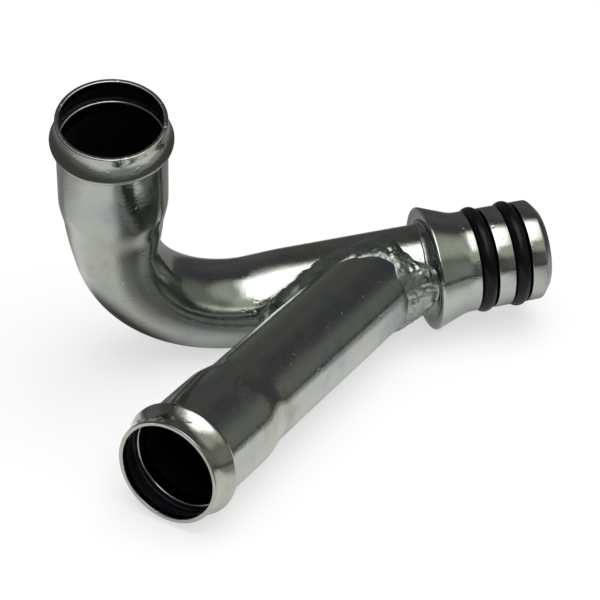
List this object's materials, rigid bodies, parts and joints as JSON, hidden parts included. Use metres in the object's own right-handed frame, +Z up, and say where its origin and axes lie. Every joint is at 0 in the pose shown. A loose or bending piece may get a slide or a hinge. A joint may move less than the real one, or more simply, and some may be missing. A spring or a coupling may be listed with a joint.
{
  "type": "oil line",
  "caption": "Metal fluid line with a side branch: sealed push-in spigot at one end, beaded hose stubs on the bent end and on the branch.",
  "frame": {"origin": "on the surface it lies on, below the middle of its footprint", "axes": "+Z up from the surface it rests on, +X the heading of the spigot, seen from above; the branch runs towards -X and -Y"},
  "size_m": [0.113, 0.0836, 0.069],
  "materials": {
    "tube_steel": "bright zinc plate on drawn steel tube",
    "turned_steel": "bright zinc plate on turned steel",
    "seal_rubber": "smooth moulded rubber, lightly oiled",
    "weld_metal": "weld and braze metal under zinc plate"
  },
  "bodies": {
    "root": {"main_tube": "tube_steel", "branch_tube": "tube_steel", "spigot": "turned_steel", "seal_ring_inner": "seal_rubber", "seal_ring_outer": "seal_rubber", "branch_weld": "weld_metal", "spigot_braze": "weld_metal"}
  },
  "joints": []
}
